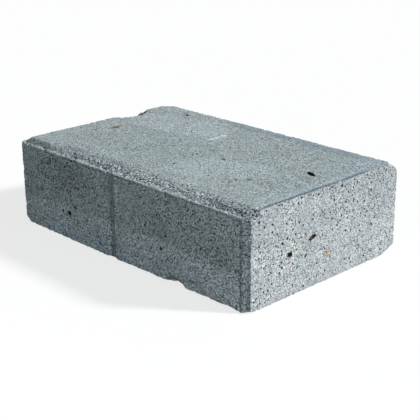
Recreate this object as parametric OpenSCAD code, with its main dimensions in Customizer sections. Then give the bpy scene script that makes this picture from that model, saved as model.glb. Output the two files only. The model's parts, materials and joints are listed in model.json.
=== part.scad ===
// Concrete ballast block, cast and pressed in a steel mould as one solid piece.
// It lies on its flat underside with the pressed face up. The origin is at the
// middle of the underside, X runs along the length and Y across the width. The
// grooved side faces -Y, the near end faces +X and has a plain square top edge.

/* [Block] */
// Length of the block, along X
block_length = 360; // [260:1:600]
// Width of the block, along Y
block_width = 230; // [170:1:400]
// Height from the underside to the pressed face
block_height = 100; // [60:1:200]

/* [Mould corners] */
// Leg of the chamfer on the two upright corners of the grooved side
front_chamfer = 6; // [2:0.5:12]
// Leg of the chamfer on the two upright corners of the back
back_chamfer = 4; // [2:0.5:12]

/* [Pressed rim] */
// Depth of the ledge below the pressed face
ledge_drop = 5.5; // [2:0.5:12]
// Width of the flat ledge that runs outside the chamfer
ledge_width = 5; // [2:0.5:10]
// Run of the chamfer from the ledge in to the pressed face
chamfer_run = 5.5; // [2:0.5:12]

/* [Side groove] */
// Distance of the upright groove from the middle of the long side, towards the far end
groove_offset = 15; // [-60:1:60]
// Width of the groove at the face of the long side
groove_width = 10; // [4:0.5:16]
// Depth of the groove
groove_depth = 1.5; // [0.5:0.1:3]

/* [Chip in the ledge over the groove] */
// Distance from the middle of the groove, towards the far end
ledge_chip_shift = 3; // [-6:1:6]
// Length along the edge
ledge_chip_length = 14; // [6:1:24]
// Width across the ledge
ledge_chip_width = 4; // [1:0.5:8]
// Height down the side
ledge_chip_height = 2.5; // [1:0.5:6]

/* [Chip in the far top edge] */
// Distance from the middle of the width, towards the back
far_chip_offset = 42; // [0:1:60]
// Length along the edge
far_chip_length = 52; // [24:1:70]
// Width across the pressed face
far_chip_width = 14.5; // [4:0.5:20]
// Height down the end
far_chip_height = 9.5; // [2:0.5:12]

/* [Chip in the lower edge of the grooved side] */
// Distance from the near end
foot_chip_inset = 98; // [70:1:130]
// Length along the edge
foot_chip_length = 27; // [20:1:44]
// Width across the underside
foot_chip_width = 6.5; // [3:0.5:12]
// Height up the side
foot_chip_height = 9.5; // [3:0.5:12]

/* [Worn corners] */
// Depth worn off the top corner between the near end and the back
near_back_wear = 6; // [1:0.5:9]
// Depth worn off the top corner between the far end and the back
far_back_wear = 5; // [1:0.5:9]
// Depth worn off the corner of the underside between the near end and the back
near_back_foot_wear = 7; // [1:0.5:9]
// Depth worn off the two corners of the underside at the far end
far_foot_wear = 3.5; // [1:0.5:6]

/* [Hidden] */
concrete_grey = "#8E999B";
spare = 20;                                // how far a cutting shape overshoots the block
reach = 2 * (block_length + block_width);  // longer than any edge of the block
end_x = block_length / 2;
side_y = block_width / 2;
ledge_z = block_height - ledge_drop;
rim_width = ledge_width + chamfer_run;
groove_x = -groove_offset;

// How far outside a face the ball's centre lies when its cut is `chord` long in the
// face's edge and `bite` wide across the face
function ball_offset(chord, bite) = (chord * chord / 4 - bite * bite) / (2 * bite);

// Outline of the mould: a rectangle with its four corners cut off at 45 degrees
module mould_outline()
    difference() {
        square([block_length, block_width], center = true);
        for (sx = [-1, 1], sy = [-1, 1])
            translate([sx * end_x, sy * side_y])
                rotate(45) square(corner_leg(sy) * sqrt(2), center = true);
    }

function corner_leg(sy) = sy < 0 ? front_chamfer : back_chamfer;

// What the press leaves off along an edge on the X axis: ledge, chamfer and all above.
// The block lies on the +Y side of that edge.
module rim_cut()
    rotate([90, 0, 90])
        linear_extrude(reach, center = true)
            polygon([
                [-spare, ledge_z],
                [ledge_width, ledge_z],
                [rim_width, block_height],
                [rim_width + spare, block_height + spare],
                [-spare, block_height + spare]
            ]);

// The rim runs along both long sides, across the far end and round the near corners.
// The near end itself has a plain square edge.
module pressed_rim() {
    for (sy = [-1, 1]) {
        half_leg = corner_leg(sy) / 2;
        translate([0, sy * side_y, 0]) rotate(90 + 90 * sy) rim_cut();
        translate([end_x - half_leg, sy * (side_y - half_leg), 0])
            rotate(90 + 45 * sy) rim_cut();
    }
    translate([-end_x, 0, 0]) rotate(-90) rim_cut();
}

// Upright groove that the mould leaves in the long side, a shallow round hollow
module side_groove() {
    centre_offset = ball_offset(groove_width, groove_depth);
    translate([groove_x, -side_y - centre_offset, -spare])
        cylinder(r = centre_offset + groove_depth, h = block_height + 2 * spare, $fn = 96);
}

// A scoop broken out of a straight edge at `place`. It is `chord` long in the edge,
// `width` wide across the level face and `height` high on the upright one.
// `outward` points out of the upright face, and `up` is the level face's Z direction.
module chip(place, outward, up, chord, width, height) {
    level = ball_offset(chord, width);
    upright = ball_offset(chord, height);
    radius = norm([chord / 2, level, upright]);
    translate(place + outward * level + [0, 0, up * upright])
        sphere(r = radius, $fn = 48);
}

// Everything more than `depth` inside the corner at `place`, measured along `outward`
module wear(place, outward, depth)
    translate(place - outward / norm(outward) * depth)
        rotate([0, acos(outward.z / norm(outward)), atan2(outward.y, outward.x)])
            translate([-reach / 2, -reach / 2, 0]) cube([reach, reach, spare]);

// Wear on the corner of the underside on the sides `sx` and `sy`; `down` tilts its face
module foot_corner_wear(sx, sy, down, depth) {
    half_leg = corner_leg(sy) / 2;
    wear([sx * (end_x - half_leg), sy * (side_y - half_leg), 0], [sx, sy, -down], depth);
}

module chips() {
    chip([groove_x - ledge_chip_shift, -side_y, ledge_z], [0, -1, 0], 1,
         ledge_chip_length, ledge_chip_width, ledge_chip_height);
    chip([rim_width - end_x, far_chip_offset, block_height], [-1, 0, 0], 1,
         far_chip_length, far_chip_width, far_chip_height);
    chip([end_x - foot_chip_inset, -side_y, 0], [0, -1, 0], -1,
         foot_chip_length, foot_chip_width, foot_chip_height);
}

module worn_corners() {
    wear([end_x, side_y - back_chamfer, block_height], [1, 2, 2], near_back_wear);
    wear([rim_width - end_x, side_y - rim_width, block_height], [-1, 1, 2], far_back_wear);
    foot_corner_wear(1, 1, 2.5, near_back_foot_wear);
    for (sy = [-1, 1]) foot_corner_wear(-1, sy, 2, far_foot_wear);
}

module block()
    color(concrete_grey)
        difference() {
            linear_extrude(block_height) mould_outline();
            pressed_rim();
            side_groove();
            chips();
            worn_corners();
        }

block();
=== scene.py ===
"""A concrete ballast block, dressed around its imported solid.

The block is one piece: semi-dry concrete pressed into a steel mould, with open grain round its rim,
pores in its sides and the knocks of handling on its edges. Run as a script, it builds the block and a
plain stage; the operators below do the same by hand from the sidebar.
"""

import functools
import json
import math
import random

import bpy
import numpy as np
from mathutils import Euler, Matrix, Vector
from mathutils.bvhtree import BVHTree

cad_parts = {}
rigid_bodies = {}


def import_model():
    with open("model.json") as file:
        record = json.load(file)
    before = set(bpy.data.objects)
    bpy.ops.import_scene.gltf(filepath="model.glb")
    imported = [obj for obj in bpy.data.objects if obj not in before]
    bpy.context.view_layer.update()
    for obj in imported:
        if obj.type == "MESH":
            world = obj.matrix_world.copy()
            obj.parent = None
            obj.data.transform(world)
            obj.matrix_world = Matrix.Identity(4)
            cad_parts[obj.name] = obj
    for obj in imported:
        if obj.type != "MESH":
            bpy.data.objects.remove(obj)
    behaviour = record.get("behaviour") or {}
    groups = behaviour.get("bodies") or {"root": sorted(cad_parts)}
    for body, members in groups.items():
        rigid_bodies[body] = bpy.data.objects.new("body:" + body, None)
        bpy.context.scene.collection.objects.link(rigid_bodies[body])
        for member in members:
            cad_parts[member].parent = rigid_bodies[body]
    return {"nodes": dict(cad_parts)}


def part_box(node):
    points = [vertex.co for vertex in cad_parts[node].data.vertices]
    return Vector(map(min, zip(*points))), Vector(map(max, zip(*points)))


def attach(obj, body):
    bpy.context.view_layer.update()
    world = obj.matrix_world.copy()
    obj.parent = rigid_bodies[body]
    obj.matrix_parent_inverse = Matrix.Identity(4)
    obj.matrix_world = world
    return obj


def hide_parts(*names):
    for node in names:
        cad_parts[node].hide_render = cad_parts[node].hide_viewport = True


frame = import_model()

bl_info = {
    "name": "Concrete Ballast Block",
    "version": (1, 0, 0),
    "blender": (4, 5, 0),
    "location": "View3D > Sidebar > Ballast Block",
    "description": "Gives a packed concrete block its grain, pores, worn edges and concrete colour",
    "category": "Add Mesh",
}

MM = 0.001
LOW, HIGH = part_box("block")
# Places of the near end, the long sides and the top in millimetres, from the middle of the underside
END, SIDE, TOP = (round(place / MM) for place in HIGH)

# The way out of each part of the skin that pores are set into
FACE_UP = {"top": Vector((0, 0, 1)), "side": Vector((0, -1, 0)), "end": Vector((1, 0, 0)),
           "back": Vector((0, 1, 0)), "far_end": Vector((-1, 0, 0)), "rim": Vector((0, -0.5, 0.87))}
# The middle of the rim's chamfer on the grooved side: how far in from the side and down from the top
CHAMFER_IN = 8 * MM
CHAMFER_DOWN = 3 * MM

# Pores big enough to be seen one by one: face, the two places on it, length, width, depth and the turn
# of the long axis from the face's level direction. The places are X and Y on the top, X and Z on the
# grooved side and the back, Y and Z on the two ends, all in millimetres, and the turn is in degrees.
LARGE_PORES = [
    ("top", 143.5, 15.5, 17, 6.5, 6, -25),
    ("top", 46, -11, 5, 4.0, 2.2, 20),
    ("top", 112, -42, 4, 3.0, 1.8, 60),
    ("top", 20, -58, 4, 3.0, 1.8, 0),
    ("top", -112, 84, 7, 4.0, 2.0, -20),
    ("end", -23, 52.6, 12.5, 5.2, 3.4, 12),
    ("end", -55, 44, 7.6, 5.6, 6.0, 0),
    ("end", -98, 88, 3.6, 3, 3, 60),
    ("end", 20, 95, 4, 3, 3, 60),
    ("end", -32, 36, 5, 2.5, 1.6, 50),
    ("side", -89, 31, 7, 5.5, 3.4, 0),
    ("side", -101, 31, 4, 3, 2.4, 0),
    ("side", -78, 40, 4, 3.5, 2.4, 30),
    ("side", 62, 33, 4.5, 3.2, 2.4, 0),
]

# Fields of small pores: face, the two places of its middle, its two half widths, how many pores it holds
# at most and how wide the widest is. On the rim the places are X and how far in from the middle of the
# chamfer.
PORE_FIELDS = [
    ("top", 0, 0, 170, 105, 60, 2.6),
    ("top", -35, -97, 75, 6, 90, 2.4),
    ("top", 85, -100, 70, 4, 50, 2.4),
    ("top", 165, -102, 12, 6, 20, 2.4),
    ("rim", 45, 1.5, 135, 4, 230, 2.4),
    ("rim", 145, 0, 33, 5, 90, 2.2),
    ("side", 0, 48, 175, 45, 130, 3.0),
    ("side", -105, 72, 45, 18, 90, 3.0),
    ("side", 85, 76, 50, 14, 45, 3.0),
    ("end", -104, 92, 9, 5, 16, 2.6),
    ("end", 0, 95, 100, 3, 50, 2.6),
    ("end", 0, 50, 108, 46, 190, 2.6),
    ("end", -40, 58, 60, 22, 45, 2.6),
    ("end", 55, 70, 45, 22, 50, 2.6),
    ("end", -85, 30, 20, 20, 20, 3.0),
    ("back", 0, 48, 175, 45, 200, 3.0),
    ("far_end", 0, 48, 108, 45, 120, 3.0),
]

# Parts of the skin with a colour of their own, and others that are painted shade and painted light, laid one
# over the other: the middle, the half sizes, the turn about Z, the colour and how strongly it covers, in
# millimetres and degrees. A half size that reaches far past the block paints all of it in that direction.
ALL = 900
FINISHES = {
    "side": ((0, -SIDE, TOP / 2), (ALL, 3, ALL), 0, "8C9A9C", 1.0),
    "back": ((0, SIDE, TOP / 2), (ALL, 3, ALL), 0, "8A989C", 1.0),
    "far_end": ((-END, 0, TOP / 2), (3, ALL, ALL), 0, "8A989C", 1.0),
    # Painted light from the floor on the foot of the grooved side
    "side_foot_painted_light": ((0, -SIDE, 0), (200, 3, 42), 0, "A8B6BB", 0.9),
    # Partly dust and partly painted light from the floor: a paler, bluer band along the bottom
    "side_dust_and_painted_light": ((-35, -SIDE, 0), (110, 3, 16), 0, "A8B9C4", 0.8),
    "side_dark_band": ((-100, -SIDE, 74), (50, 3, 14), 0, "7E8A8D", 0.7),
    # Painted shade in the groove on the grooved side
    "groove": ((-15, -SIDE, TOP / 2), (3.8, 4, ALL), 0, "738083", 0.9),
    # Painted highlight on the flank of the groove that faces the light
    "groove_lip": ((-6.5, -SIDE, TOP / 2), (2.6, 4, ALL), 0, "9CAAAD", 0.7),
    # Painted shadow under the ledge's lip, along the top of the grooved side
    "side_lip_painted_shadow": ((40, -SIDE, 92.8), (150, 3, 1.6), 0, "78868A", 0.9),
    "top_front_shade": ((-75, -99, TOP), (75, 6, 2), 0, "8795A0", 0.3),
    "rim": ((25, -109, 97.5), (160, 8, 3.8), 0, "A9B5BA", 0.9),
    # Painted light: the chamfer, which faces away from the key, is painted paler
    "chamfer": ((50, -107.3, 97), (90, 3.4, 3), 0, "C6D2D6", 0.9),
    # Painted shade on the chamfer towards the near corner
    "chamfer_corner_painted_shade": ((145, -105, 99), (32, 4, 3.4), 0, "909EA5", 0.9),
    "top_pale_patch": ((-85, 48, TOP), (70, 32, 3), 12, "A4AFB3", 0.75),
    "top_pale_middle": ((64, -36, TOP), (62, 30, 3), 30, "A2AEB1", 0.7),
    "top_middle_shade": ((-50, -30, TOP), (80, 45, 3), 0, "8F9B9D", 0.45),
    "top_back_shade": ((60, 102, TOP), (130, 16, 3), 0, "83929A", 0.75),
    "top_end_shade": ((166, 30, TOP), (22, 110, 3), 0, "93A2AC", 0.4),
    # Painted shadow of the near end's lip, on the top just inside it
    "top_end_lip_painted_shadow": ((176.4, -18, TOP), (3.0, 84, 3), 0, "64737D", 0.9),
    "near_end": ((END, 0, TOP / 2), (2.4, ALL, ALL), 0, "A4AAAC", 1.0),
    # Painted shade on the upper part of the near end, which the floor's light reaches less than its foot
    "near_end_top_painted_shade": ((END, 0, 90), (2.4, ALL, 34), 0, "9AA1A5", 0.6),
    # Painted shade on the corner strip between the grooved side and the near end
    "corner_strip_painted_shade": ((177, -112, 45), (1.8, 4.4, ALL), -45, "8A989D", 1.0),
    "strip_edge": ((179, -110, 45), (1.6, 2.2, ALL), -45, "6B787E", 1.0),
    "strip_shadow": ((172.6, -SIDE, TOP / 2), (1.2, 2, ALL), 0, "6C777A", 0.9),
    "near_corner": ((174, -107, 97), (12, 12, 5), 0, "818E93", 0.9),
}

# Stains and scratches, laid out in the same way
STAINS = [
    ((-132, -11, TOP), (4.2, 11, 3), 0, "8E7E5C", 0.8),
    ((-132, -12, TOP), (2.4, 5, 3), 0, "664A28", 0.9),
    ((152, 2, TOP), (4, 6, 3), 0, "938B77", 0.6),
    ((114, 55, TOP), (1.6, 13, 3), -20, "84827A", 0.8),
    ((-17, 41, TOP), (3.4, 15, 3), 0, "C4CCCE", 0.85),
    ((-75, -31, TOP), (1.6, 1.6, 3), 0, "B08A50", 0.7),
    ((END, -55.5, 43.6), (4, 5.0, 4.2), 0, "84675A", 0.6),
    ((END, 0, 30), (3, 1.8, 2.2), 0, "CC8624", 1.0),
    ((131, -SIDE, 13), (2.6, 3, 12), 0, "A9B5B8", 0.8),
]

# How strongly the sand grains show on each part of the skin, and the share of places that hold a speck, a
# dot of painted shade for a pore too small to cut
SAND_SHOWS = {"sides": 2.1, "top": 1.6, "end": 1.7, "rim": 1.5}
SPECKS_SHOW = {"sides": 0.34, "top": 0.12, "end": 0.30, "rim": 0.45}

# Sizes of the patterns in the concrete. The real sand is mostly finer than its grain here, which is drawn
# as coarse as it needs to be to show.
SAND_GRAIN = 1.0 * MM
PASTE_GRAIN = 1.1 * MM
GRIT = 1.3 * MM
SPECK_SPACING = 2.3 * MM
HUE_PATCH = 5 * MM
BORDER_WAVE = 6 * MM
DUST_PATCH = 12 * MM
SKIN_PATCH = 28 * MM
CLOUD_PATCH = 45 * MM

# How far the skin sinks, in millimetres, where a group of vertices is fully worn. Less than 0 rises.
SINK = {"rim": 1.8, "end_lip": 1.1, "foot": -2.6}

# How often a small pore is drawn for each one that is wanted, how far from a face a pore's place is sought
# and how far pores keep apart, as a share of their reach
DRAWS_PER_PORE = 5
WELL_OUT = 20 * MM
PORE_SPACING = 1.25

# The floor's width in metres
FLOOR_SIZE = 12
# Where the camera stands, how it is turned and then rolled, in degrees, and its lens in millimetres
CAMERA_PLACE = Vector((762.93, -720.09, 412.96)) * MM
CAMERA_TURN = (69.848, 0, 46.146)
CAMERA_ROLL = -0.359
CAMERA_LENS = 86.3


def linear(hex_colour):
    """The linear red, green and blue of an sRGB hex colour such as "8E999B"."""
    parts = [int(hex_colour[i:i + 2], 16) / 255 for i in (0, 2, 4)]
    return [p / 12.92 if p <= 0.04045 else ((p + 0.055) / 1.055) ** 2.4 for p in parts]


class BlockProperties(bpy.types.PropertyGroup):
    mesh_step: bpy.props.FloatProperty(
        name="Mesh Step", description="Spacing of the mesh that carries the relief",
        default=1.0 * MM, min=0.8 * MM, max=5 * MM, unit="LENGTH", precision=5)
    triangles: bpy.props.IntProperty(
        name="Triangles", description="Most triangles that the finished block may have",
        default=192000, min=20000, max=199000)
    arris_reach: bpy.props.FloatProperty(
        name="Worn Edge Width", description="How far from an edge the wear reaches",
        default=3.5 * MM, min=0, max=10 * MM, unit="LENGTH", precision=5)
    arris_wear: bpy.props.FloatProperty(
        name="Edge Wear", description="Depth that the knocks take off an edge",
        default=1.8 * MM, min=0, max=5 * MM, unit="LENGTH", precision=5)
    seed: bpy.props.IntProperty(
        name="Seed", description="Draws another set of pores", default=11, min=0)
    concrete: bpy.props.FloatVectorProperty(
        name="Concrete", description="Colour of the cement skin on the pressed top", subtype="COLOR",
        size=3, default=linear("98A3A5"), min=0, max=1)


class StageProperties(bpy.types.PropertyGroup):
    key_strength: bpy.props.FloatProperty(
        name="Key Light", description="Strength of the far softbox", default=4.5, min=0)
    card_strength: bpy.props.FloatProperty(
        name="Front Card", description="Strength of the light that a white card throws on the grooved side",
        default=3.3, min=0)
    fill_strength: bpy.props.FloatProperty(
        name="Fill Light", description="Strength of the light from all round", default=0.2, min=0)


def select_only(piece):
    """Selects one object and makes it the active one."""
    bpy.ops.object.select_all(action="DESELECT")
    piece.select_set(True)
    bpy.context.view_layer.objects.active = piece


def apply_modifier(piece, kind, **settings):
    """Adds one modifier to the piece, sets it up and applies it."""
    select_only(piece)
    modifier = piece.modifiers.new(kind.title(), kind)
    for name, value in settings.items():
        setattr(modifier, name, value)
    bpy.ops.object.modifier_apply(modifier=modifier.name)


def give(piece, materials):
    """Gives the piece these materials, in this order, and no others."""
    piece.data.materials.clear()
    for material in materials:
        piece.data.materials.append(material)


def cloud(size, low, high):
    """A cloud texture of the given patch size: 0 where it is under low, 1 where it is over high."""
    texture = bpy.data.textures.new("cloud", "CLOUDS")
    texture.noise_scale = size
    texture.noise_depth = 2
    texture.use_color_ramp = True
    for stop, place, shade in zip(texture.color_ramp.elements, (low, high), (0, 1)):
        stop.position = place
        stop.color = (shade, shade, shade, 1)
    return texture


def patchy(x, y, z, size, seed, count=24):
    """A smooth random field over the block, about -1 to 1, with patches of the given size. It is the sum
    of that many waves in all directions."""
    draw = np.random.default_rng(seed)
    waves = draw.normal(0, math.tau / size / 2, (count, 3))
    phases = draw.uniform(0, math.tau, count)
    field = sum(np.cos(w[0] * x + w[1] * y + w[2] * z + p) for w, p in zip(waves, phases))
    return field / math.sqrt(count)


def copy_of_solid(node, name):
    """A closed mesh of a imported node: its own copy, with the loose triangles joined."""
    select_only(frame["nodes"][node])
    bpy.ops.object.duplicate()
    piece = bpy.context.active_object
    bpy.ops.object.parent_clear(type="CLEAR_KEEP_TRANSFORM")
    piece.name = piece.data.name = name
    bpy.ops.object.mode_set(mode="EDIT")
    bpy.ops.mesh.select_all(action="SELECT")
    bpy.ops.mesh.remove_doubles(threshold=1e-6)
    bpy.ops.object.mode_set(mode="OBJECT")
    return piece


def sharp_edges_of(piece):
    """A wire mesh of the edges where two faces of the piece meet at more than 20 degrees."""
    select_only(piece)
    bpy.ops.object.mode_set(mode="EDIT")
    bpy.ops.mesh.select_mode(type="EDGE")
    bpy.ops.mesh.select_all(action="DESELECT")
    bpy.ops.mesh.edges_select_sharp(sharpness=math.radians(20))
    bpy.ops.mesh.duplicate()
    bpy.ops.mesh.separate(type="SELECTED")
    bpy.ops.object.mode_set(mode="OBJECT")
    return next(o for o in bpy.context.selected_objects if o != piece)


def places(piece):
    """The vertices of the piece as columns x, y and z."""
    flat = np.empty(3 * len(piece.data.vertices))
    piece.data.vertices.foreach_get("co", flat)
    return flat.reshape(-1, 3).T


def weigh(piece, name, weights, steps=20):
    """Writes the weights, 0 to 1, as a vertex group in that many steps."""
    group = piece.vertex_groups.new(name=name)
    level = np.rint(np.clip(weights, 0, 1) * steps).astype(int)
    for step in range(steps + 1):
        group.add(np.flatnonzero(level == step).tolist(), step / steps, "REPLACE")


def ramp(value, start, end):
    """0 before start, 1 after end and a smooth rise between."""
    t = np.clip((value - start) / (end - start), 0, 1)
    return t * t * (3 - 2 * t)


def pore_blank(materials):
    """A rough ball of radius 1, the shape of every pore, in the second of the block's materials."""
    bpy.ops.mesh.primitive_ico_sphere_add(subdivisions=2, radius=1)
    blank = bpy.context.active_object
    give(blank, materials)
    blank.data.polygons.foreach_set("material_index", [1] * len(blank.data.polygons))
    bpy.ops.object.mode_set(mode="EDIT")
    bpy.ops.transform.vertex_random(offset=0.3, uniform=0.1, seed=4)
    bpy.ops.object.mode_set(mode="OBJECT")
    return blank


def pore(blank, face, place, size, turn, tumble):
    """One pore: a copy of the blank set into a face. Size is its length, width and depth."""
    up = FACE_UP[face]
    # On the far end this direction leads out of the face, so the pores there come out flat
    level = Vector((0, 1, 0)) if face == "end" else Vector((1, 0, 0))
    across = up.cross(level)
    axes = Matrix((level, across, up)).transposed()
    body = Matrix.Rotation(math.radians(turn), 3, "Z") @ Matrix.Diagonal((size[0] / 2, size[1] / 2, size[2]))
    matrix = (axes @ body @ tumble.to_matrix()).to_4x4()
    mesh = blank.data.copy()
    mesh.transform(Matrix.Translation(place) @ matrix)
    made = bpy.data.objects.new("pore", mesh)
    bpy.context.collection.objects.link(made)
    return made


def over_face(face, u, v):
    """The point well out from a face at its two places, in metres. On the rim the second place is counted
    from the middle of the chamfer."""
    place = {
        "top": (u, v, HIGH[2]),
        "side": (u, LOW[1], v),
        "end": (HIGH[0], u, v),
        "back": (u, HIGH[1], v),
        "far_end": (LOW[0], u, v),
        "rim": (u, v + LOW[1] + CHAMFER_IN, HIGH[2] - CHAMFER_DOWN),
    }[face]
    return Vector(place) + WELL_OUT * FACE_UP[face]


def cast_pores(block, seed, materials):
    """All the pores as one mesh, set into the worn skin of the block and ready to be cut out of it."""
    draw = random.Random(seed)
    blank = pore_blank(materials)
    skin = BVHTree.FromObject(block, bpy.context.evaluated_depsgraph_get())

    def tumble():
        return Euler([draw.uniform(0, math.tau) for _ in range(3)])

    made = []
    taken = []
    for face, u, v, length, width, depth, turn in LARGE_PORES:
        size = Vector((length, width, depth)) * MM
        place = skin.ray_cast(over_face(face, u * MM, v * MM), -FACE_UP[face])[0]
        taken.append((place, max(length / 2, depth) * MM))
        made.append(pore(blank, face, place, size, turn, tumble()))
    for face, u, v, half_u, half_v, count, widest in PORE_FIELDS:
        full = len(made) + count
        for _ in range(DRAWS_PER_PORE * count):
            along = u + draw.uniform(-half_u, half_u)
            across = v + draw.uniform(-half_v, half_v)
            place = skin.ray_cast(over_face(face, along * MM, across * MM), -FACE_UP[face])[0]
            # At least 1 mm wide and most often 1.2 mm, up to 1.4 times as long, 0.5 to 0.9 times as deep
            width = draw.triangular(1.0, widest, 1.2) * MM
            size = Vector((width * draw.uniform(1, 1.4), width, width * draw.uniform(0.5, 0.9)))
            radius = max(size.x / 2, size.z)
            # The cut needs pores that keep apart, so one that would run into another is drawn again, as is
            # one past the border of a face
            apart = place and all((place - other).length > PORE_SPACING * (radius + reach)
                                  for other, reach in taken)
            if apart and len(made) < full:
                taken.append((place, radius))
                made.append(pore(blank, face, place, size, draw.uniform(0, 180), tumble()))
    bpy.ops.object.select_all(action="DESELECT")
    for piece in made:
        piece.select_set(True)
    bpy.context.view_layer.objects.active = made[0]
    bpy.ops.object.join()
    bpy.data.objects.remove(blank)
    return bpy.context.active_object


def fill_sockets(tree, node, inputs):
    """Fills the sockets of a node with values, links or other nodes."""
    for socket, value in inputs.items():
        if isinstance(value, bpy.types.Node):
            value = value.outputs[0]
        if isinstance(value, bpy.types.NodeSocket):
            tree.links.new(value, node.inputs[socket])
        else:
            node.inputs[socket].default_value = value


def add_node(tree, kind, inputs=None, **settings):
    """Adds a node, sets its properties and fills its sockets."""
    made = tree.nodes.new(kind)
    for name, value in settings.items():
        setattr(made, name, value)
    fill_sockets(tree, made, inputs or {})
    return made


def mask(node, place, middle, half, turn, cover):
    """How strongly a finish covers each place: all over its box with rounded corners, then fading.

    The places are counted in half sizes. Where their fourth powers add up to 0.4 or less it covers in
    full, and at 1.3 it is gone."""
    local = node("ShaderNodeMapping", {"Vector": place, "Location": Vector(middle) * MM,
                                       "Rotation": (0, 0, math.radians(turn)), "Scale": Vector(half) * MM},
                 vector_type="TEXTURE")
    square = node("ShaderNodeVectorMath", {0: local, 1: local}, operation="MULTIPLY")
    fourth = node("ShaderNodeVectorMath", {0: square, 1: square}, operation="DOT_PRODUCT")
    return node("ShaderNodeMapRange", {"Value": fourth.outputs["Value"], "From Min": 0.4, "From Max": 1.3,
                                       "To Min": cover, "To Max": 0.0}, interpolation_type="SMOOTHSTEP")


def painted_skin(node, place, colour):
    """The colour of the skin with its finishes, among them painted shade and light, and then its stains
    painted over it.
    """
    for middle, half, turn, paint, cover in (*FINISHES.values(), *STAINS):
        cover = mask(node, place, middle, half, turn, cover)
        paint = (*linear(paint), 1)
        colour = node("ShaderNodeMix", {0: cover, 6: colour, 7: paint}, data_type="RGBA").outputs[2]
    return colour


def sand_tone(node, place, strength):
    """The tone of the sand grains, each with its own, in a paste that varies from place to place."""
    sand = node("ShaderNodeTexVoronoi", {"Vector": place, "Scale": 1 / SAND_GRAIN})
    sand = node("ShaderNodeSeparateColor", {"Color": sand.outputs["Color"]})
    paste = node("ShaderNodeTexNoise", {"Vector": place, "Scale": 1 / PASTE_GRAIN, "Detail": 1.0})
    grain = node("ShaderNodeMath", {0: sand, 1: 0.8, 2: paste}, operation="MULTIPLY_ADD")
    grain = node("ShaderNodeMath", {0: grain, 1: 0.9}, operation="SUBTRACT")
    # The grains show less where the skin is thick
    skin = node("ShaderNodeTexNoise", {"Vector": place, "Scale": 1 / SKIN_PATCH, "Detail": 2.0})
    skin = node("ShaderNodeMapRange", {"Value": skin, "From Min": 0.35, "From Max": 0.65,
                                       "To Min": 0.75, "To Max": 1.25})
    strength = node("ShaderNodeMath", {0: strength, 1: skin}, operation="MULTIPLY")
    grain = node("ShaderNodeMath", {0: grain, 1: strength, 2: 1.0}, operation="MULTIPLY_ADD")
    return node("ShaderNodeMath", {0: grain, 1: 0.12}, operation="MAXIMUM")


def cloud_tone(node, place):
    """The tone of the cloudy patches where the skin is thicker or thinner."""
    patch = node("ShaderNodeTexNoise", {"Vector": place, "Scale": 1 / CLOUD_PATCH, "Detail": 5.0,
                                        "Roughness": 0.7})
    return node("ShaderNodeMapRange", {"Value": patch, "From Min": 0.3, "From Max": 0.7,
                                       "To Min": 0.89, "To Max": 1.11})


def speck_tone(node, place, share):
    """The tone of the specks, pores too small to be cut: painted shade in the middle of the cells that hold
    one.
    """
    cell = node("ShaderNodeTexVoronoi", {"Vector": place, "Scale": 1 / SPECK_SPACING})
    luck = node("ShaderNodeSeparateColor", {"Color": cell.outputs["Color"]})
    reach = node("ShaderNodeMath", {0: share, 1: luck}, operation="SUBTRACT")
    reach = node("ShaderNodeMath", {0: reach, 1: 3.0}, operation="MULTIPLY")
    reach = node("ShaderNodeMath", {0: reach, 1: 0.26}, operation="MINIMUM")
    speck = node("ShaderNodeMath", {0: reach, 1: cell.outputs["Distance"]}, operation="SUBTRACT")
    return node("ShaderNodeMapRange", {"Value": speck, "From Min": -0.02, "From Max": 0.06,
                                       "To Min": 1.0, "To Max": 0.18})


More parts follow.
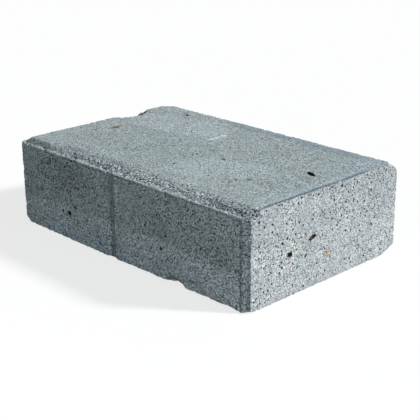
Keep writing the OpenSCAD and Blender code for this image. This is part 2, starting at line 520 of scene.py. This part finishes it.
def pressed_concrete(look):
    """Semi-dry concrete out of a steel mould: a matt grey cement skin, sandy where it did not close.

    The skin is quiet on the pressed top and blotched by the oiled mould on the sides. The near end has
    no skin, so its pale sand shows, with dark pores between the grains. Shade and light are painted over
    some of the skin, and the specks are painted shade of pores too small to cut."""
    material = bpy.data.materials.new("pressed_concrete")
    material.use_nodes = True
    tree = material.node_tree
    node = functools.partial(add_node, tree)
    place = node("ShaderNodeTexCoord").outputs["Object"]

    # The borders of the finishes wander by a millimetre or so
    wander = node("ShaderNodeTexNoise", {"Vector": place, "Scale": 1 / BORDER_WAVE, "Detail": 2.0})
    wander = node("ShaderNodeVectorMath", {0: wander.outputs["Color"], 1: (0.5, 0.5, 0.5)},
                  operation="SUBTRACT")
    wander = node("ShaderNodeVectorMath", {0: wander, 1: (4 * MM, 4 * MM, 1.5 * MM), 2: place},
                  operation="MULTIPLY_ADD")
    top = mask(node, place, (0, 0, TOP), (ALL, ALL, 2.6), 0, 1.0)
    end = mask(node, place, (END, 0, TOP / 2), (2.4, ALL, ALL), 0, 1.0)
    rim = mask(node, wander, (30, -108, 97.5), (150, 9, 4), 0, 1.0)

    def by_part(values):
        """One value on the sides and others on the top, the near end and the rim."""
        mixed = values["sides"]
        for part, cover in (("top", top), ("end", end), ("rim", rim)):
            mixed = node("ShaderNodeMix", {0: cover, 2: mixed, 3: values[part]})
        return mixed

    tone = node("ShaderNodeMath", {0: sand_tone(node, place, by_part(SAND_SHOWS)),
                                   1: cloud_tone(node, place)}, operation="MULTIPLY")
    tone = node("ShaderNodeMath", {0: tone, 1: speck_tone(node, place, by_part(SPECKS_SHOW))},
                operation="MULTIPLY")
    colour = painted_skin(node, wander, (*look.concrete, 1))
    colour = node("ShaderNodeVectorMath", {0: colour, "Scale": tone}, operation="SCALE")
    # The cement is warmer in some places and bluer in others
    hue = node("ShaderNodeTexNoise", {"Vector": place, "Scale": 1 / HUE_PATCH, "Detail": 3.0})
    hue = node("ShaderNodeMapRange", {"Value": hue, "From Min": 0.35, "From Max": 0.65})
    hue = node("ShaderNodeMix", {0: hue, 6: (0.985, 1, 1.025, 1), 7: (1.015, 1, 0.975, 1)},
               data_type="RGBA")
    colour = node("ShaderNodeVectorMath", {0: colour, 1: hue.outputs[2]}, operation="MULTIPLY")

    grit = node("ShaderNodeTexNoise", {"Vector": place, "Scale": 1 / GRIT, "Detail": 2.0})
    bump = node("ShaderNodeBump", {"Height": grit, "Distance": 0.4 * MM})
    fill_sockets(tree, tree.nodes["Principled BSDF"], {
        "Base Color": colour, "Roughness": 0.93, "Specular IOR Level": 0.3, "Normal": bump})
    return material


def pore_lining():
    """The inside of a pore: rough paste, dark grey to brown, partly from the dust and damp that collect
    there and partly painted shade of the hollow. The long pit in the near end has a rusty grain at its
    bottom."""
    material = bpy.data.materials.new("pore_dust_and_painted_shade")
    material.use_nodes = True
    tree = material.node_tree
    node = functools.partial(add_node, tree)
    place = node("ShaderNodeTexCoord").outputs["Object"]
    dust = node("ShaderNodeTexNoise", {"Vector": place, "Scale": 1 / DUST_PATCH})
    dust = node("ShaderNodeMapRange", {"Value": dust, "From Min": 0.5, "From Max": 0.7})
    colour = node("ShaderNodeMix", {0: dust, 6: (*linear("303435"), 1), 7: (*linear("3F332A"), 1)},
                  data_type="RGBA")
    grain = mask(node, place, (END - 2, -24.5, 52), (5, 3.8, 1.4), 0, 1.0)
    colour = node("ShaderNodeMix", {0: grain, 6: colour.outputs[2], 7: (*linear("6E4C32"), 1)},
                  data_type="RGBA")
    fill_sockets(tree, tree.nodes["Principled BSDF"], {
        "Base Color": colour.outputs[2], "Roughness": 1.0, "Specular IOR Level": 0.2})
    return material


def weigh_wear(block, look):
    """Remeshes the block finely and adds the vertex groups that say where the relief goes: arrises, open
    grain, rounded rim, worn foot and end lip. Their places are in millimetres."""
    arrises = sharp_edges_of(block)
    apply_modifier(block, "REMESH", mode="VOXEL", voxel_size=look.mesh_step, use_smooth_shade=True)
    x, y, z = places(block) / MM
    weigh(block, "arris", np.ones(len(x)))
    apply_modifier(block, "VERTEX_WEIGHT_PROXIMITY", vertex_group="arris", target=arrises,
                   proximity_mode="GEOMETRY", proximity_geometry={"EDGE"},
                   min_dist=look.arris_reach, max_dist=0)
    bpy.data.objects.remove(arrises)

    # The rim is most worn on the grooved side, apart from its first part at the far end
    along = np.where(y < 0, 0.3 + 0.7 * ramp(x, -125, -90), 0.3)
    inward = np.abs(y) - SIDE
    near_rim = ramp(inward, -30, -11) * ramp(z, 93, 95.5) * along
    near_corner = ramp(-np.hypot(np.hypot(x - END, y + 100), z - 95), -17, -9)
    grain = near_rim * ramp(patchy(x, y, z, 30, 3), -0.6, 0.4)
    weigh(block, "open_grain", np.maximum(grain, near_corner))
    slope = ramp(inward, -19, -10.5) * ramp(z, 94, 98) * along
    weigh(block, "rim", slope * (0.75 + 0.25 * patchy(x, y, z, 25, 5)))

    # The lower edge of the grooved side is worn on its near half, most of all towards the near end, and
    # so is the corner under it
    foot = ramp(-y, 108.5, 114) * (0.4 * ramp(x, 0, 15) + 0.6 * ramp(x, 94, 104))
    foot = np.maximum(foot, 0.7 * ramp(-np.hypot(x - 181, y + 110), -7, -2))
    weigh(block, "foot", ramp(-z, -6, -1) * foot * (0.75 + 0.25 * patchy(x, y, z, 14, 7)))

    # The top sags a little just inside the near end's edge, which stands as a thin lip
    lip = ramp(x, 166, 175.5) * ramp(-x, -178.8, -177) * ramp(z, 98, 99.5)
    weigh(block, "end_lip", lip * ramp(y, -105, -90) * ramp(-y, -75, -45))


def mend(piece):
    """The piece as one closed skin, without the flat faces, the slits and the flakes that the cuts leave."""
    name = piece.name
    select_only(piece)
    bpy.ops.object.mode_set(mode="EDIT")
    bpy.ops.mesh.select_all(action="SELECT")
    bpy.ops.mesh.dissolve_degenerate(threshold=0.01 * MM)
    bpy.ops.mesh.quads_convert_to_tris()
    bpy.ops.mesh.select_mode(type="VERT")
    bpy.ops.mesh.select_all(action="DESELECT")
    bpy.ops.mesh.select_non_manifold()
    bpy.ops.mesh.delete(type="VERT")
    bpy.ops.mesh.select_all(action="SELECT")
    bpy.ops.mesh.fill_holes(sides=0)
    bpy.ops.mesh.quads_convert_to_tris()
    bpy.ops.mesh.separate(type="LOOSE")
    bpy.ops.object.mode_set(mode="OBJECT")
    parts = sorted(bpy.context.selected_objects, key=lambda part: len(part.data.vertices))
    for flake in parts[:-1]:
        bpy.data.objects.remove(flake)
    parts[-1].name = parts[-1].data.name = name
    return parts[-1]


def shape_block(look):
    """The block's mesh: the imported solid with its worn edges, open grain and pores."""
    block = copy_of_solid("block", "concrete_block")
    weigh_wear(block, look)
    for group, depth in SINK.items():
        apply_modifier(block, "DISPLACE", direction="Z", strength=-depth * MM, mid_level=0,
                       vertex_group=group)
    # Uneven faces, large and small knocks along the arrises, a fine tooth all over and the open grain:
    # patch size, lower and upper limit of the cloud, depth and group, in millimetres
    wear = look.arris_wear / MM
    for size, low, high, depth, group in (
            (70, 0.2, 0.8, 0.5, ""),
            (7, 0.15, 0.45, wear, "arris"),
            (2.4, 0.25, 0.55, wear / 2, "arris"),
            (2, 0.2, 0.8, 0.25, ""),
            (2.6, 0.25, 0.6, 0.9, "open_grain")):
        apply_modifier(block, "DISPLACE", texture=cloud(size * MM, low, high), texture_coords="LOCAL",
                       strength=depth * MM, mid_level=1, vertex_group=group)
    materials = (pressed_concrete(look), pore_lining())
    give(block, materials)
    pores = cast_pores(block, look.seed, materials)
    apply_modifier(block, "BOOLEAN", object=pores, operation="DIFFERENCE", solver="MANIFOLD")
    bpy.data.objects.remove(pores)
    triangles = sum(len(face.vertices) - 2 for face in block.data.polygons)
    apply_modifier(block, "DECIMATE", ratio=look.triangles / triangles)
    block = mend(block)
    block.vertex_groups.clear()
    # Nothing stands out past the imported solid's box
    inside = np.clip(places(block).T, LOW, HIGH)
    block.data.vertices.foreach_set("co", inside.ravel())
    select_only(block)
    bpy.ops.object.shade_smooth_by_angle(angle=math.radians(35))
    return block


class BALLAST_OT_cast_block(bpy.types.Operator):
    """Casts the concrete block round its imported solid"""
    bl_idname = "ballast.cast_block"
    bl_label = "Cast Block"

    def execute(self, context):
        look = context.scene.ballast_block
        block = shape_block(look)
        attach(block, "root")
        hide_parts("block")
        return {"FINISHED"}


def matt_white_floor():
    """A floor that looks white and takes a shadow, but throws back less light than a white one."""
    material = bpy.data.materials.new("matt_white_floor")
    material.use_nodes = True
    tree = material.node_tree
    tree.nodes.remove(tree.nodes["Principled BSDF"])
    seen = add_node(tree, "ShaderNodeLightPath").outputs["Is Camera Ray"]
    real = add_node(tree, "ShaderNodeBsdfDiffuse", {"Color": (0.4, 0.4, 0.4, 1)})
    white = add_node(tree, "ShaderNodeBsdfDiffuse", {"Color": (0.95, 0.95, 0.95, 1)})
    glow = add_node(tree, "ShaderNodeEmission", {"Color": (1, 1, 1, 1), "Strength": 1})
    pale = add_node(tree, "ShaderNodeMixShader", {0: 0.75, 1: white, 2: glow})
    both = add_node(tree, "ShaderNodeMixShader", {0: seen, 1: real, 2: pale})
    fill_sockets(tree, tree.nodes["Material Output"], {"Surface": both})
    return material


def studio(fill_strength):
    """A world that gives a cool light of that strength from all round and looks white."""
    world = bpy.data.worlds.new("studio")
    world.use_nodes = True
    tree = world.node_tree
    seen = add_node(tree, "ShaderNodeLightPath").outputs["Is Camera Ray"]
    fill = tree.nodes["Background"]
    fill_sockets(tree, fill, {"Color": (0.88, 0.97, 1, 1), "Strength": fill_strength})
    white = add_node(tree, "ShaderNodeBackground", {"Color": (1, 1, 1, 1), "Strength": 1})
    both = add_node(tree, "ShaderNodeMixShader", {0: seen, 1: fill, 2: white})
    fill_sockets(tree, tree.nodes["World Output"], {"Surface": both})
    return world


def aim_lamp(kind, name, azimuth, elevation, distance, **settings):
    """Adds a lamp that shines at the middle of the floor from the given direction."""
    turned, raised = math.radians(azimuth), math.radians(elevation)
    way = Vector((math.cos(turned) * math.cos(raised), math.sin(turned) * math.cos(raised),
                  math.sin(raised)))
    bpy.ops.object.light_add(type=kind, location=way * distance)
    lamp = bpy.context.active_object
    lamp.name = name
    lamp.rotation_euler = way.to_track_quat("Z", "Y").to_euler()
    for setting, value in settings.items():
        setattr(lamp.data, setting, value)


class BALLAST_OT_stage(bpy.types.Operator):
    """Lays the floor and sets the lights and the camera"""
    bl_idname = "ballast.stage"
    bl_label = "Set Stage"

    def execute(self, context):
        stage = context.scene.ballast_stage
        bpy.ops.object.select_all(action="DESELECT")
        bpy.ops.mesh.primitive_plane_add(size=FLOOR_SIZE)
        floor = bpy.context.active_object
        floor.name = "floor"
        floor.data.materials.append(matt_white_floor())
        context.scene.world = studio(stage.fill_strength)
        aim_lamp("SUN", "key", azimuth=38, elevation=34, distance=2,
                 energy=stage.key_strength, angle=math.radians(8))
        aim_lamp("AREA", "front_card", azimuth=-64, elevation=6, distance=1.2,
                 energy=stage.card_strength, size=0.8)

        bpy.ops.object.camera_add(location=CAMERA_PLACE)
        camera = bpy.context.active_object
        turn = Euler([math.radians(angle) for angle in CAMERA_TURN]).to_matrix()
        roll = Euler((0, 0, math.radians(CAMERA_ROLL))).to_matrix()
        camera.rotation_euler = (turn @ roll).to_euler()
        camera.data.sensor_width = 36
        camera.data.lens = CAMERA_LENS
        context.scene.camera = camera
        context.scene.view_settings.view_transform = "Standard"
        return {"FINISHED"}


class BALLAST_PT_panel(bpy.types.Panel):
    bl_label = "Ballast Block"
    bl_idname = "BALLAST_PT_panel"
    bl_space_type = "VIEW_3D"
    bl_region_type = "UI"
    bl_category = "Ballast Block"

    def draw(self, context):
        layout = self.layout
        for group in (context.scene.ballast_block, context.scene.ballast_stage):
            box = layout.box()
            for name in group.__annotations__:
                box.prop(group, name)
        layout.operator(BALLAST_OT_cast_block.bl_idname)
        layout.operator(BALLAST_OT_stage.bl_idname)


CLASSES = (BlockProperties, StageProperties, BALLAST_OT_cast_block, BALLAST_OT_stage, BALLAST_PT_panel)


def register():
    for cls in CLASSES:
        bpy.utils.register_class(cls)
    bpy.types.Scene.ballast_block = bpy.props.PointerProperty(type=BlockProperties)
    bpy.types.Scene.ballast_stage = bpy.props.PointerProperty(type=StageProperties)


def unregister():
    del bpy.types.Scene.ballast_stage
    del bpy.types.Scene.ballast_block
    for cls in reversed(CLASSES):
        bpy.utils.unregister_class(cls)


def main():
    """Builds the block and the stage."""
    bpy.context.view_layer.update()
    register()
    bpy.ops.ballast.cast_block()
    bpy.ops.ballast.stage()


if __name__ == "__main__":
    main()
